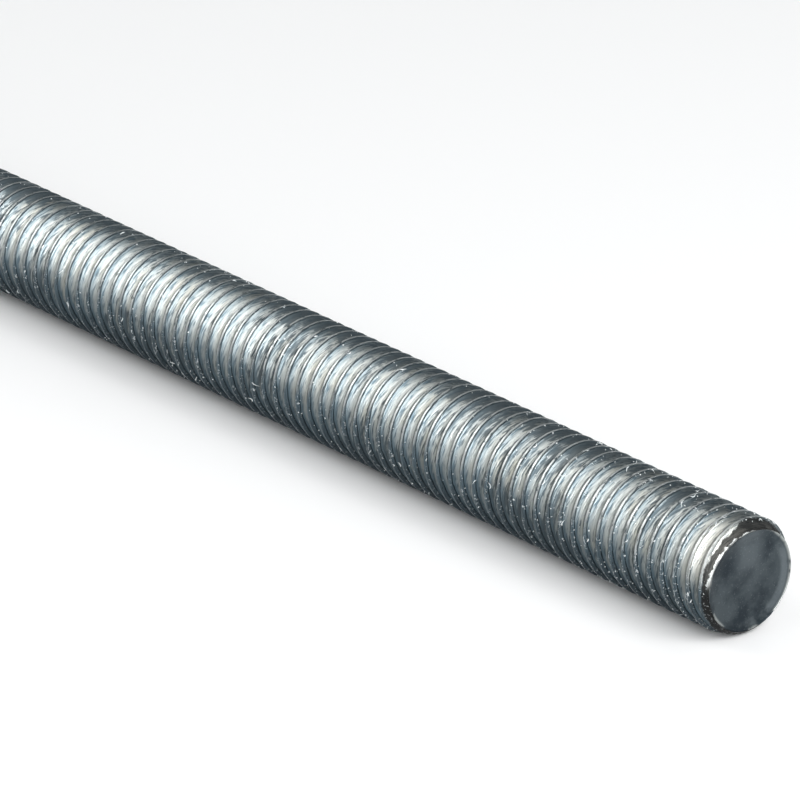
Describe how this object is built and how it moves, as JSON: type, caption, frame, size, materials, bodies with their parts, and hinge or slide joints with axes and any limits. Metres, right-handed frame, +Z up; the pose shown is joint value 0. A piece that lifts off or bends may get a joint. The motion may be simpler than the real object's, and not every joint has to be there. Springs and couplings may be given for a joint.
{
  "type": "threaded rod",
  "caption": "Straight steel bar with a right-hand screw thread over its whole length and chamfered cut ends, for fastening with nuts or into tapped holes.",
  "frame": {"origin": "the middle of the rod, on its axis", "axes": "+X along the rod, toward the end that the picture shows; +Z up as the rod lies in the picture; +Y to its far side"},
  "size_m": [0.3048, 0.0126, 0.0126],
  "materials": {
    "zinc_plated_steel": "bright zinc plating over rolled steel, dull and dark on the cut end faces"
  },
  "bodies": {
    "root": {"threaded_rod": "zinc_plated_steel"}
  },
  "joints": []
}
